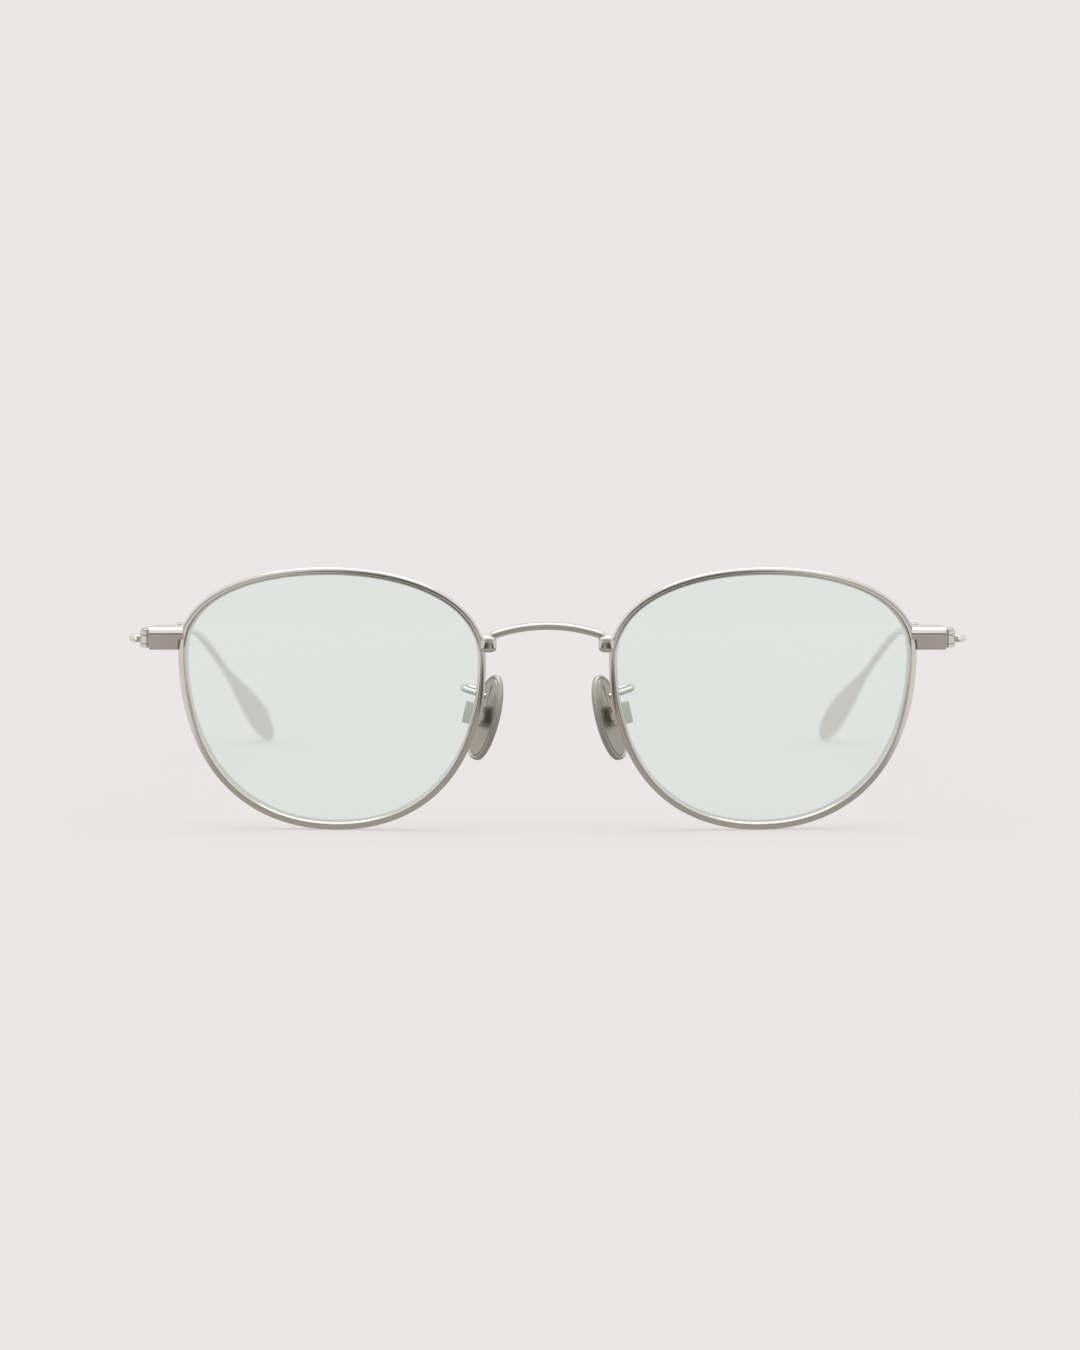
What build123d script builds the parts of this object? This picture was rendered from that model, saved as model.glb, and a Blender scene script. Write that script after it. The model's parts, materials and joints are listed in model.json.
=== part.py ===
from build123d import *
import math
import os

# Round wire eyeglasses, in millimetres. The front is modelled upright about the middle of
# the lens boxes: X across the face, -Y forward, +Z up. It is then leaned and lifted, so that
# the rims and the temple tips stand together on the plane Z = 0. The +X half is modelled,
# and the -X half (the wearer's right) is its mirror image.

# Front
lens_width = 48.0
lens_height = 41.0
lens_gap = 21.1
base_curve_radius = 120.0
face_form_angle = 5.0
lens_thickness = 1.8
bevel_height = 0.65
bevel_width = 0.8
rim_wall = 1.25
rim_depth = 2.0
rim_edge_radius = 0.4
groove_clearance = 0.05
lens_clearance = 0.03

# Eye outline: the heights of its side extremes as shares of the lens height, and how full
# each quarter is
nasal_side_share = 0.1585
temple_side_share = 0.1805
bottom_shift = 0.35
top_fullness = 0.54
upper_side_fullness = 0.655
lower_side_fullness = 0.625
bottom_fullness = 0.62

# Bridge: its foot's height is a share of the lens height
bridge_foot_share = 0.189
bridge_rise = 4.2
bridge_arch_radius = 26.0
bridge_end_inset = 1.35
bridge_elbow_radius = 1.0
bridge_elbow_angle = 68.0
bridge_leg = 0.8
bridge_bar_height = 1.2
bridge_bar_depth = 1.7
bridge_edge_radius = 0.45
bridge_foot_lap = 0.87
bridge_foot_width = 2.6
bridge_foot_height = 2.8
bridge_foot_depth = 2.2
bridge_foot_radius = 0.8

# Closing blocks, which clamp the split rim round the lens
rim_slit = 0.12
rim_slit_rise = 0.2
block_width = 2.3
block_depth = 2.1
block_lap = 0.5
block_corner_radius = 0.5
upper_block_height = 1.7
lower_block_height = 1.5
rim_screw_radius = 0.5
rim_screw_head_radius = 0.8
rim_screw_head_height = 0.4
screw_edge_radius = 0.15
screw_slot_width = 0.25
screw_slot_depth = 0.2
screw_clearance = 0.02

# End piece: it is placed from the temple hinge
end_piece_below = 1.5
end_piece_height = 3.7
end_piece_depth = 2.8
end_piece_gap = 0.5
end_piece_proud = 1.4
end_piece_top_radius = 1.3
end_piece_edge_radius = 0.3
end_piece_relief = 0.1

# Temple hinge: three knuckles on one screw, with a washer at each joint. Its height is a share
# of the lens height.
hinge_share = 0.2195
hinge_reach = 5.3
hinge_setback = 2.6
knuckle_radius = 1.15
knuckle_height = 1.2
outer_knuckle_height = 0.55
washer_thickness = 0.12
washer_gap = 0.04
washer_inset = 0.1
hinge_screw_radius = 0.6
hinge_screw_head_radius = 0.9
hinge_screw_head_height = 0.3
hinge_running_clearance = 0.03
hinge_plate_length = 2.4
hinge_plate_thickness = 1.1
hinge_sweep_clearance = 0.25
tail_past_knuckle = 0.35
tail_thickness = 1.0
tail_edge_radius = 0.3

# Temple
temple_wire_radius = 0.6
bow_past_knuckle = 1.2
temple_bow_radius = 1.5
temple_straight = 97.8
temple_drop_angle = 7.85
temple_toe_in = 2.65
temple_bend_radius = 32.0
tip_length = 40.8
tip_drop_angle = 36.4
tip_toe_in = 20.5
blade_length = 29.0
blade_half_width = 2.6
blade_waist = 0.95
blade_widest = 21.5
blade_swell_start = 0.4
blade_swell_end = 0.6
blade_nose_side = 3.6
blade_nose_end = 0.6
blade_thickness = 1.0
blade_edge_radius = 0.4

# Nose pad: its plate, its boss, and the box and screw that hold it
pad_outset = 0.48
pad_setback = 6.2
pad_height_share = -0.0915
pad_length = 14.0
pad_front_half_width = 3.4
pad_back_half_width = 3.7
pad_front_height = 0.8
pad_back_height = -1.8
pad_top_shift = -0.6
pad_bottom_shift = 0.3
pad_top_fullness = 0.5
pad_bottom_fullness = 0.6
pad_thickness = 1.0
pad_edge_radius = 0.3
pad_splay_angle = 35.0
pad_frontal_angle = 15.0
boss_width = 1.1
boss_radius = 0.9
pad_box_width = 2.5
pad_box_below = 1.55
pad_box_above = 1.95
pad_box_end_wall = 0.5
pad_box_gap = 0.7
pad_box_roof = 0.4
pad_box_slot_clearance = 0.15
pad_box_edge_radius = 0.3
pad_screw_height = 1.6
pad_screw_radius = 0.45
pad_screw_head_radius = 0.75
pad_screw_head_height = 0.4
pad_screw_running_clearance = 0.03

# Pad arm: heights from its box's place on the pad, then the two legs of its loop
arm_wire_radius = 0.45
arm_foot_top = 6.8
arm_foot_bottom = -1.7
arm_leave_height = 0.3
arm_loop_reach = 3.7
arm_loop_height = 1.4
arm_loop_setback = 1.2
arm_loop_depth = 2.6
arm_loop_radius = 1.1
arm_seat_depth = 0.1
arm_stem = 2.1
arm_stem_out = 1.9
arm_stem_radius = 0.7

# Cutting tools reach this far, past every piece that they cut
past_all = 40.0

# The search for the lean that stands the eyeglasses on a table
largest_lean = 15.0
lean_halvings = 24

eye_x = (lens_width + lens_gap) / 2
opening_half_width = lens_width / 2 - bevel_height
opening_half_height = lens_height / 2 - bevel_height
nasal_side_height = nasal_side_share * lens_height
temple_side_height = temple_side_share * lens_height
hinge_height = hinge_share * lens_height
rim_slit_height = hinge_height + rim_slit_rise
bridge_foot_bottom = bridge_foot_share * lens_height
tail_reach = knuckle_radius + tail_past_knuckle
temple_bow = knuckle_radius + bow_past_knuckle
pad_height = pad_height_share * lens_height


def eye_place():
    """Where the +X eye's own frame lies on the front, turned back by the face form."""
    return Location((eye_x, 0, 0), (0, 0, face_form_angle))


def eye_prism(grow):
    """A prism along Y through the eye, as wide as its opening and grown by a distance."""
    half_width = opening_half_width + grow
    half_height = opening_half_height + grow
    top = Vector(0, half_height)
    temple = Vector(half_width, temple_side_height)
    bottom = Vector(-bottom_shift, -half_height)
    nasal = Vector(-half_width, nasal_side_height)
    sides = Wire(
        [
            quarter(top, temple, top_fullness, upper_side_fullness),
            quarter(bottom, temple, bottom_fullness, lower_side_fullness),
            quarter(bottom, nasal, bottom_fullness, lower_side_fullness),
            quarter(top, nasal, top_fullness, upper_side_fullness),
        ]
    )
    return extrude(Plane.XZ * Face(sides), past_all, both=True)


def quarter(crown, side, crown_fullness, side_fullness):
    """A quarter of the eye, level at the crown and upright at the side."""
    reach = side - crown
    crown_handle = crown + Vector(crown_fullness * reach.X, 0)
    side_handle = side - Vector(0, side_fullness * reach.Y)
    return Bezier(crown, crown_handle, side_handle, side)


def dome(thickness):
    """The space between two spheres on the base curve, half the thickness each side."""
    centre = Location((0, base_curve_radius, 0))
    outside = Sphere(base_curve_radius + thickness / 2)
    inside = Sphere(base_curve_radius - thickness / 2)
    return centre * (outside - inside)


def rim_blank():
    """The rim's wire before it is grooved and split, in the eye's frame."""
    return (eye_prism(rim_wall) - eye_prism(0)) & dome(rim_depth)


def rim_side(height, side):
    """The rim's outer temple side (side 1) or nasal side (-1) at a height, as X and Y."""
    out = side * (opening_half_width + rim_wall)
    back = base_curve_radius - math.sqrt(base_curve_radius**2 - out**2 - height**2)
    point = (eye_place() * Location((out, back, height))).position
    return point.X, point.Y


def make_rim(blank):
    """The grooved rim wire, split at the closing blocks."""
    long_edges = [edge for edge in blank.edges() if edge.length > 2 * rim_depth]
    wire = fillet(long_edges, rim_edge_radius)
    groove = eye_prism(bevel_height + groove_clearance) & dome(bevel_width + 2 * groove_clearance)
    slit_side = Location((opening_half_width, 0, rim_slit_height))
    slit = slit_side * Box(4 * rim_wall, past_all, rim_slit)
    return eye_place() * (wire - groove - slit)


def make_lens():
    """The lens, with the tongue on its edge that sits in the rim's groove."""
    body = eye_prism(-lens_clearance) & dome(lens_thickness)
    tongue = eye_prism(bevel_height) & dome(bevel_width)
    return eye_place() * (body + tongue)


def make_bridge(rims):
    """An arched bar whose ends turn down into feet on the nasal sides of the rims."""
    nasal = rim_side(bridge_foot_bottom, -1)[0]
    half_span = nasal - bridge_end_inset
    arch_angle = math.degrees(math.asin(half_span / bridge_arch_radius))
    top = bridge_foot_bottom + bridge_rise
    arch = JernArc((0, top), (1, 0), bridge_arch_radius, -arch_angle)
    elbow = JernArc(arch @ 1, arch % 1, bridge_elbow_radius, -bridge_elbow_angle)
    leg = Line(elbow @ 1, elbow @ 1 + (elbow % 1) * bridge_leg)
    half = Plane.XZ * Wire([arch, elbow, leg])
    path = Wire(half.edges() + mirror(half, about=Plane.YZ).edges())
    section = RectangleRounded(bridge_bar_depth, bridge_bar_height, bridge_edge_radius)
    start = Plane(origin=path @ 0, x_dir=(0, 1, 0), z_dir=path % 0)
    bar = sweep(start * section, path=path)
    foot = Box(bridge_foot_width, bridge_foot_depth, bridge_foot_height)
    foot = fillet(foot.edges(), bridge_foot_radius)
    inset = nasal + bridge_foot_lap - bridge_foot_width / 2
    middle = bridge_foot_bottom + bridge_foot_height / 2
    feet = [Pos(side * inset, 0, middle) * foot for side in (-1, 1)]
    return bar + feet - rims


def block_place():
    """The closing blocks' middle in plan, at the slit, behind the rim's temple side."""
    x, y = rim_side(rim_slit_height, 1)
    rim_outside = Location((x, y, rim_slit_height), (0, 0, face_form_angle))
    out = block_width / 2 - rim_wall
    return rim_outside * Location((out, rim_depth / 2 + block_depth / 2, 0))


def make_closing_block(height, side):
    """One block, over the slit (side 1) or under it (side -1), with the rim screw's hole."""
    seat = side * (rim_slit / 2 + height / 2)
    solid = Pos(0, -block_lap / 2, seat) * Box(block_width, block_depth + block_lap, height)
    solid = fillet(solid.edges().filter_by(Axis.Z).group_by(Axis.Y)[-1], block_corner_radius)
    hole = Cylinder(rim_screw_radius + screw_clearance, past_all)
    return block_place() * (solid - hole)


def screw_head(radius, height):
    """A low slotted head that stands on Z = 0."""
    align = (Align.CENTER, Align.CENTER, Align.MIN)
    head = Cylinder(radius, height, align=align)
    head = fillet(head.edges().group_by(Axis.Z)[-1], screw_edge_radius)
    floor = height - screw_slot_depth
    return head - Pos(0, 0, floor) * Box(past_all, screw_slot_width, past_all, align=align)


def make_rim_screw():
    """A cheese-head screw down through both closing blocks."""
    top = rim_slit / 2 + upper_block_height
    bottom = -rim_slit / 2 - lower_block_height
    align = (Align.CENTER, Align.CENTER, Align.MIN)
    shank = Pos(0, 0, bottom) * Cylinder(rim_screw_radius, top - bottom, align=align)
    head = Pos(0, 0, top) * screw_head(rim_screw_head_radius, rim_screw_head_height)
    return block_place() * (shank + head)


def hinge_place():
    """The hinge axis on the front, at the middle knuckle's middle height."""
    x, y = rim_side(hinge_height, 1)
    return Location((x + hinge_reach, y - end_piece_proud + hinge_setback, hinge_height))


def make_end_piece(rims, blocks):
    """A block from the rim's upper part to the hinge, with a soft top edge in front."""
    rim_x, rim_y = rim_side(hinge_height, 1)
    inner = rim_x - rim_wall / 2
    bottom = hinge_height - end_piece_below
    length = hinge_place().position.X - end_piece_gap - inner
    align = (Align.MIN, Align.MIN, Align.MIN)
    block = Box(length, end_piece_depth, end_piece_height, align=align)
    block = Pos(inner, rim_y - end_piece_proud, bottom) * block
    across = block.edges().filter_by(Axis.X)
    top_front = across.group_by(Axis.Z)[-1].sort_by(Axis.Y)[0]
    block = fillet(top_front, end_piece_top_radius)
    low_front = block.edges().filter_by(Axis.X).group_by(Axis.Z)[0].sort_by(Axis.Y)[0]
    block = fillet(low_front, end_piece_edge_radius)
    room = hinge_place() * Cylinder(knuckle_radius + hinge_sweep_clearance, past_all)
    align = (Align.CENTER, Align.CENTER, Align.MAX)
    under = Pos(0, 0, rim_slit_height) * Box(4 * past_all, past_all, past_all, align=align)
    relief = eye_place() * (eye_prism(rim_wall + end_piece_relief) & under)
    screw_room = block_place() * Cylinder(rim_screw_head_radius + end_piece_relief, past_all)
    return block - room - rims - relief - screw_room - blocks


def outer_knuckle_offset():
    """How far each outer knuckle's middle lies from the middle knuckle's."""
    joint = washer_thickness + 2 * washer_gap
    return knuckle_height / 2 + joint + outer_knuckle_height / 2


def make_hinge_front():
    """The front's two knuckles on a plate that is brazed to the back of the end piece."""
    offset = outer_knuckle_offset()
    height = 2 * offset + outer_knuckle_height
    back = end_piece_depth - hinge_setback
    align = (Align.MAX, Align.MIN, Align.CENTER)
    length = end_piece_gap + hinge_plate_length
    plate = Pos(0, back, 0) * Box(length, hinge_plate_thickness, height, align=align)
    gap = knuckle_height + 2 * (washer_thickness + 2 * washer_gap)
    room = Cylinder(knuckle_radius + hinge_sweep_clearance, gap)
    barrel = Cylinder(knuckle_radius, outer_knuckle_height)
    barrels = [Pos(0, 0, side * offset) * barrel for side in (-1, 1)]
    bore = Cylinder(hinge_screw_radius + screw_clearance, past_all)
    return hinge_place() * (plate - room + barrels - bore)


def make_temple_hinge():
    """The temple's knuckle, with a tail that its wire is brazed to."""
    align = (Align.MIN, Align.CENTER, Align.CENTER)
    tail = Box(tail_reach, tail_thickness, knuckle_height, align=align)
    tail = fillet(tail.edges().filter_by(Axis.X), tail_edge_radius)
    barrel = Cylinder(knuckle_radius, knuckle_height)
    bore = Cylinder(hinge_screw_radius + hinge_running_clearance, past_all)
    return hinge_place() * (barrel + tail - bore)


def make_hinge_screw():
    """A low-headed screw down through the three knuckles."""
    reach = outer_knuckle_offset() + outer_knuckle_height / 2
    shank = Cylinder(hinge_screw_radius, 2 * reach)
    head = Pos(0, 0, reach) * screw_head(hinge_screw_head_radius, hinge_screw_head_height)
    return hinge_place() * (shank + head)


def make_hinge_washers():
    """The two washers between the knuckles."""
    offset = knuckle_height / 2 + washer_gap + washer_thickness / 2
    bore = Cylinder(hinge_screw_radius + hinge_running_clearance, past_all)
    ring = Cylinder(knuckle_radius - washer_inset, washer_thickness) - bore
    return Compound([hinge_place() * Pos(0, 0, side * offset) * ring for side in (-1, 1)])


def heading(toe_in, drop):
    """The direction that runs back, turned inwards and down by two angles."""
    inwards, down = math.radians(toe_in), math.radians(drop)
    level = math.cos(down)
    return Vector(-math.sin(inwards) * level, math.cos(inwards) * level, -math.sin(down))


def temple_bend():
    """The corner of the temple's centreline above the ear."""
    hinge = hinge_place().position
    run = heading(temple_toe_in, temple_drop_angle)
    start = hinge + Vector(temple_bow, 0, 0)
    return start + run * (temple_straight / run.Y)


def make_temple():
    """The temple: a round wire that bows out from the hinge, and a flat blade at its tip."""
    hinge = hinge_place().position
    start = hinge + Vector(tail_reach, 0, 0)
    corner = hinge + Vector(temple_bow, 0, 0)
    bend = temple_bend()
    tip_way = heading(tip_toe_in, tip_drop_angle)
    root = tip_length - blade_length
    wire_end = bend + tip_way * (root + 2 * temple_wire_radius)
    radii = [temple_bow_radius_limit(), temple_bend_radius]
    path = FilletPolyline(start, corner, bend, wire_end, radius=radii)
    wire = sweep(Plane(origin=path @ 0, z_dir=path % 0) * Circle(temple_wire_radius), path=path)
    side = tip_way.cross(Vector(0, 0, 1)).normalized()
    blade = Plane(origin=bend + tip_way * root, x_dir=tip_way, z_dir=side) * make_blade()
    return wire + blade


def temple_bow_radius_limit():
    """The bow's bend, kept inside the stretch between the tail and the corner."""
    return min(temple_bow_radius, 0.9 * (temple_bow - tail_reach))


def make_blade():
    """The temple's flat tip along +X: a leaf that widens to a rounded end."""
    waist = blade_waist * temple_wire_radius
    widest = Vector(blade_widest, blade_half_width)
    end = Vector(blade_length, 0)
    swell = Bezier((0, waist), (blade_swell_start * blade_widest, waist),
                   (blade_swell_end * blade_widest, blade_half_width), widest)
    nose = Bezier(widest, widest + Vector(blade_nose_side, 0),
                  end + Vector(0, blade_nose_end * blade_half_width), end)
    upper = Wire([swell, nose])
    lower = mirror(upper, about=Plane.XZ)
    root = Line((0, -waist), (0, waist))
    leaf = Face(Wire(upper.edges() + lower.edges() + [root]))
    blade = extrude(leaf, blade_thickness / 2, both=True)
    rounded = [edge for edge in blade.edges() if edge.length > 2 * blade_thickness]
    return fillet(rounded, blade_edge_radius)


def pad_plane():
    """The outer face of the nose pad: X towards its back edge, Y up it, Z away from the nose."""
    splay = math.radians(pad_splay_angle)
    lean = math.radians(pad_frontal_angle)
    back = Vector(math.sin(splay), math.cos(splay), 0)
    level_out = Vector(math.cos(splay), -math.sin(splay), 0)
    out = level_out * math.cos(lean) + Vector(0, 0, math.sin(lean))
    pad_x = rim_side(0, -1)[0] + pad_outset
    return Plane(origin=(pad_x, pad_setback, pad_height), x_dir=back, z_dir=out)


def make_nose_pad():
    """The pad's plate: narrower at its top, with soft edges."""
    top = Vector(pad_top_shift, pad_length / 2)
    front = Vector(-pad_front_half_width, pad_front_height)
    bottom = Vector(pad_bottom_shift, -pad_length / 2)
    back = Vector(pad_back_half_width, pad_back_height)
    upper = [quarter(top, side, pad_top_fullness, pad_bottom_fullness) for side in (front, back)]
    lower = [quarter(bottom, side, pad_bottom_fullness, pad_top_fullness) for side in (front, back)]
    plate = extrude(Face(Wire(upper + lower)), -pad_thickness)
    rounded = [edge for edge in plate.edges() if edge.length > 2 * pad_thickness]
    return pad_plane() * fillet(rounded, pad_edge_radius)


def pad_screw_place():
    """The middle of the pad screw, which runs along X."""
    return pad_plane().location * Pos(0, 0, pad_screw_height)


def pad_box_top():
    """The pad box's top, as a height above the pad's outer face."""
    return pad_screw_height + boss_radius + pad_box_slot_clearance + pad_box_roof


def along_screw(radius, length):
    """A cylinder along X."""
    return Rot(Y=90) * Cylinder(radius, length)


def make_pad_boss():
    """The round-ended lug on the pad's plate that rocks on the pad screw."""
    align = (Align.CENTER, Align.CENTER, Align.MAX)
    lug = along_screw(boss_radius, boss_width)
    lug = lug + Box(boss_width, 2 * boss_radius, pad_screw_height, align=align)
    hole = along_screw(pad_screw_radius + pad_screw_running_clearance, past_all)
    return pad_screw_place() * (lug - hole)


def make_pad_box():
    """The box that the boss sits in, open towards the pad and at the slot's lower end."""
    height = pad_box_top() - pad_box_gap
    align = (Align.CENTER, Align.MIN, Align.MAX)
    length = pad_box_below + pad_box_above
    box = Pos(0, -pad_box_below, 0) * Box(pad_box_width, length, height, align=align)
    box = fillet(box.edges().filter_by(Axis.Z), pad_box_edge_radius)
    align = (Align.CENTER, Align.MAX, Align.MAX)
    slot = Box(boss_width + 2 * pad_box_slot_clearance, past_all, past_all, align=align)
    slot = Pos(0, pad_box_above - pad_box_end_wall, -pad_box_roof) * slot
    box = Pos(0, 0, pad_box_top()) * (box - slot)
    hole = along_screw(pad_screw_radius + screw_clearance, past_all)
    return pad_plane().location * (box - Pos(0, 0, pad_screw_height) * hole)


def make_pad_screw():
    """The small screw through the box and the boss, its head in front."""
    half = pad_box_width / 2
    shank = Cylinder(pad_screw_radius, pad_box_width)
    head = Pos(0, 0, half) * screw_head(pad_screw_head_radius, pad_screw_head_height)
    return pad_screw_place() * Rot(Y=-90) * (shank + head)


def make_pad_arm(rims):
    """A soldered foot behind the rim, and a wire that loops back and down to the pad box."""
    x, nasal_y = rim_side(0, -1)
    y = nasal_y + rim_depth / 2 + arm_wire_radius - arm_seat_depth
    leave = Vector(x, y, arm_leave_height)
    out = Vector(x + arm_loop_reach, y + arm_loop_setback, arm_loop_height)
    plane = pad_plane()
    seat = plane.origin + plane.y_dir * pad_box_above + plane.z_dir * arm_stem_out
    over = seat + plane.y_dir * arm_stem
    foot = wire_along([Vector(x, y, arm_foot_top), Vector(x, y, arm_foot_bottom)], [])
    turns = [leave, out, out + Vector(0, arm_loop_depth, 0), over, seat]
    loop = wire_along(turns, [arm_loop_radius, arm_loop_radius, arm_stem_radius])
    return foot + loop - rims


def wire_along(points, radii):
    """The pad arm's wire along straight runs joined by arcs."""
    if radii:
        path = FilletPolyline(*points, radius=radii)
    else:
        path = Line(*points)
    start = Plane(origin=path @ 0, z_dir=path % 0)
    return sweep(start * Circle(arm_wire_radius), path=path)


def resting(pieces):
    """The lean and lift that stand the rims and the temple tips on Z = 0."""
    low, high = 0.0, largest_lean
    for _ in range(lean_halvings):
        lean = (low + high) / 2
        rim_bottom = (Rot(X=lean) * pieces["rim"]).bounding_box().min.Z
        tip_bottom = (Rot(X=lean) * pieces["temple"]).bounding_box().min.Z
        if tip_bottom < rim_bottom:
            low = lean
        else:
            high = lean
    leaned = [Rot(X=lean) * piece for piece in pieces.values()]
    boxes = [piece.bounding_box() for piece in leaned]
    front = min(box.min.Y for box in boxes)
    back = max(box.max.Y for box in boxes)
    lift = -min(box.min.Z for box in boxes)
    return Location((0, -(front + back) / 2, lift), (lean, 0, 0))


def build():
    """Every piece of the +X half, and the bridge, in the front's frame."""
    blank = eye_place() * rim_blank()
    upper_block = make_closing_block(upper_block_height, 1) - blank
    lower_block = make_closing_block(lower_block_height, -1) - blank
    halves = {
        "rim": make_rim(rim_blank()),
        "lens": make_lens(),
        "closing_block_upper": upper_block,
        "closing_block_lower": lower_block,
        "rim_screw": make_rim_screw(),
        "end_piece": make_end_piece(blank, upper_block + lower_block),
        "hinge_front": make_hinge_front(),
        "hinge_washers": make_hinge_washers(),
        "hinge_screw": make_hinge_screw(),
        "temple_hinge": make_temple_hinge(),
        "temple": make_temple(),
        "pad_arm": make_pad_arm(blank),
        "pad_box": make_pad_box(),
        "pad_screw": make_pad_screw(),
        "pad_boss": make_pad_boss(),
        "nose_pad": make_nose_pad(),
    }
    both_blanks = blank + mirror(blank, about=Plane.YZ)
    return halves, make_bridge(both_blanks)


halves, bridge = build()
stand = resting(halves)
os.makedirs("parts", exist_ok=True)
export_step(stand * bridge, "parts/bridge.step")
for name, piece in halves.items():
    export_step(stand * piece, f"parts/{name}_left.step")
    export_step(stand * mirror(piece, about=Plane.YZ), f"parts/{name}_right.step")

hinge = stand * hinge_place()
pad_screw = stand * pad_screw_place()
print("hinge axis", hinge.position, (stand * Plane.XY.location).z_axis.direction)
print("pad screw", pad_screw.position, pad_screw.x_axis.direction)
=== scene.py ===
import json
import math

import bmesh
import bpy
from mathutils import Matrix, Vector


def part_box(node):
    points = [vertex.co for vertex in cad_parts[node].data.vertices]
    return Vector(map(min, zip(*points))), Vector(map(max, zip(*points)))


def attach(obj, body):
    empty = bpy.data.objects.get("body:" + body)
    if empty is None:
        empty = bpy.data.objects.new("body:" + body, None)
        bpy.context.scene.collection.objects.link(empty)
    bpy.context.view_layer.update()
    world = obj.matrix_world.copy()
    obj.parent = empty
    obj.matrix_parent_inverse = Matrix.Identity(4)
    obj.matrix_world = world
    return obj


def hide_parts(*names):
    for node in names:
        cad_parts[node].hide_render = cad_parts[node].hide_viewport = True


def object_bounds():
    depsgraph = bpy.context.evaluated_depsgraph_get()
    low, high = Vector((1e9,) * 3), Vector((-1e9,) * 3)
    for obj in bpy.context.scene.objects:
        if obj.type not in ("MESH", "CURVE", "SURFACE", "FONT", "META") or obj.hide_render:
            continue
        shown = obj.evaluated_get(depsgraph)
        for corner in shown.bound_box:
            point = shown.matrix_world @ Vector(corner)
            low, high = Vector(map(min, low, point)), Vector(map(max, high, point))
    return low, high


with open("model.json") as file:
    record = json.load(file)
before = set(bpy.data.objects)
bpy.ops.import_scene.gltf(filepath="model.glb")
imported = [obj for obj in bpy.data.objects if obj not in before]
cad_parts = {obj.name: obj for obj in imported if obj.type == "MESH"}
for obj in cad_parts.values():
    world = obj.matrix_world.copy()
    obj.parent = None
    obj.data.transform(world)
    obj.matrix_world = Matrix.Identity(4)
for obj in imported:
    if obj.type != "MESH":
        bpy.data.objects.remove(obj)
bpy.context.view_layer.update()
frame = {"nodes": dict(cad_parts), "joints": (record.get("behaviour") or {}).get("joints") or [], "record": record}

MM = 0.001
NODES = frame["nodes"]
JOINTS = {joint["name"]: joint for joint in frame["joints"]}
SIDES = {"left": 1, "right": -1}

# Sizes in millimetres, angles in degrees and shares of a length, which follow the CAD's. Some join
# two of its values, and those that it takes as a share of the lens height are rounded.
LENS_WIDTH, LENS_HEIGHT, LENS_GAP = 48.0, 41.0, 21.1
BASE_CURVE, FACE_FORM = 120.0, 5.0
BEVEL_HEIGHT, LENS_THICKNESS = 0.65, 1.8
RIM_WALL, RIM_DEPTH, RIM_CORNER = 1.25, 2.0, 0.4
EDGE_HEIGHTS = {1: 7.4, -1: 6.5}
BOTTOM_SHIFT = 0.35
TOP_FULLNESS, UPPER_FULLNESS, LOWER_FULLNESS, BOTTOM_FULLNESS = 0.54, 0.655, 0.625, 0.62
FOOT_BOTTOM, FOOT_SIZE, FOOT_RADIUS, FOOT_LAP = 7.749, (2.6, 2.2, 2.8), 0.8, 0.87
BRIDGE_RISE, BRIDGE_RADIUS, BRIDGE_INSET = 4.2, 26.0, 1.35
ELBOW_RADIUS, ELBOW_ANGLE, BRIDGE_LEG = 1.0, 68.0, 0.8
BAR_HEIGHT, BAR_DEPTH, BAR_CORNER = 1.2, 1.7, 0.45
HINGE_HEIGHT, HINGE_SETBACK = 9.0, 1.2
TAIL_REACH, TEMPLE_BOW, BOW_RADIUS, BEND_RADIUS = 1.5, 2.35, 0.765, 32.0
TEMPLE_STRAIGHT, TEMPLE_DROP, TOE_IN = 97.8, 7.85, 2.65
TIP_LENGTH, TIP_DROP, TIP_TOE_IN, BLADE_LENGTH = 40.8, 36.4, 20.5, 29.0
BLADE_WIDEST, BLADE_HALF_WIDTH, BLADE_THICKNESS, BLADE_EDGE = 21.5, 2.6, 1.0, 0.4
NOSE_SIDE, NOSE_END, SWELL_START, SWELL_END = 3.6, 0.6, 0.4, 0.6
TEMPLE_RADIUS, BLADE_WAIST = 0.6, 0.95
PAD_OUTSET, PAD_SETBACK, PAD_HEIGHT, PAD_SPLAY, PAD_FRONTAL = 0.48, 6.2, -3.75, 35.0, 15.0
PAD_LENGTH, PAD_FRONT, PAD_BACK = 14.0, (-3.4, 0.8), (3.7, -1.8)
PAD_TOP_SHIFT, PAD_BOTTOM_SHIFT, PAD_CROWN_FULLNESS, PAD_SIDE_FULLNESS = -0.6, 0.3, 0.5, 0.6
ARM_RADIUS, ARM_LEAVE, ARM_REACH, ARM_SETBACK = 0.45, 0.3, 3.7, 1.2
ARM_HEIGHT, ARM_DEPTH, ARM_LOOP, ARM_BEND = 1.4, 2.6, 1.1, 0.7
ARM_SEAT_UP, ARM_SEAT_OUT, ARM_STEM, ARM_SUNK = 1.95, 1.9, 2.1, 0.1
ARM_FOOT_TOP, ARM_FOOT_BOTTOM = 6.8, -1.7

# Sizes in millimetres, and shares, that only the visual pieces have
LENS_LAP, LENS_CHAMFER = 0.12, 0.15
FOOT_INSET_SHARE = 0.8
ARM_FOOT_TIP, ARM_FOOT_TAPER = 0.25, 2.4
ROUND_SHARE = 0.99
BLADE_MERGE = 3.0
MERGE_DISTANCE = 0.001
# The pad's section as (inset, depth): the outer face with its groove, the rolled edge, the back
PAD_SECTION = ((2.0, 0), (1.2, 0), (0.8, 0), (0.72, 0), (0.7, -0.22), (0.42, -0.22), (0.4, 0),
               (0.3, 0), (0.15, -0.04), (0.04, -0.15), (0, -0.3), (0, -0.7), (0.04, -0.85),
               (0.15, -0.96), (0.3, -1.0), (1.2, -1.0), (2.0, -1.0))

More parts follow.
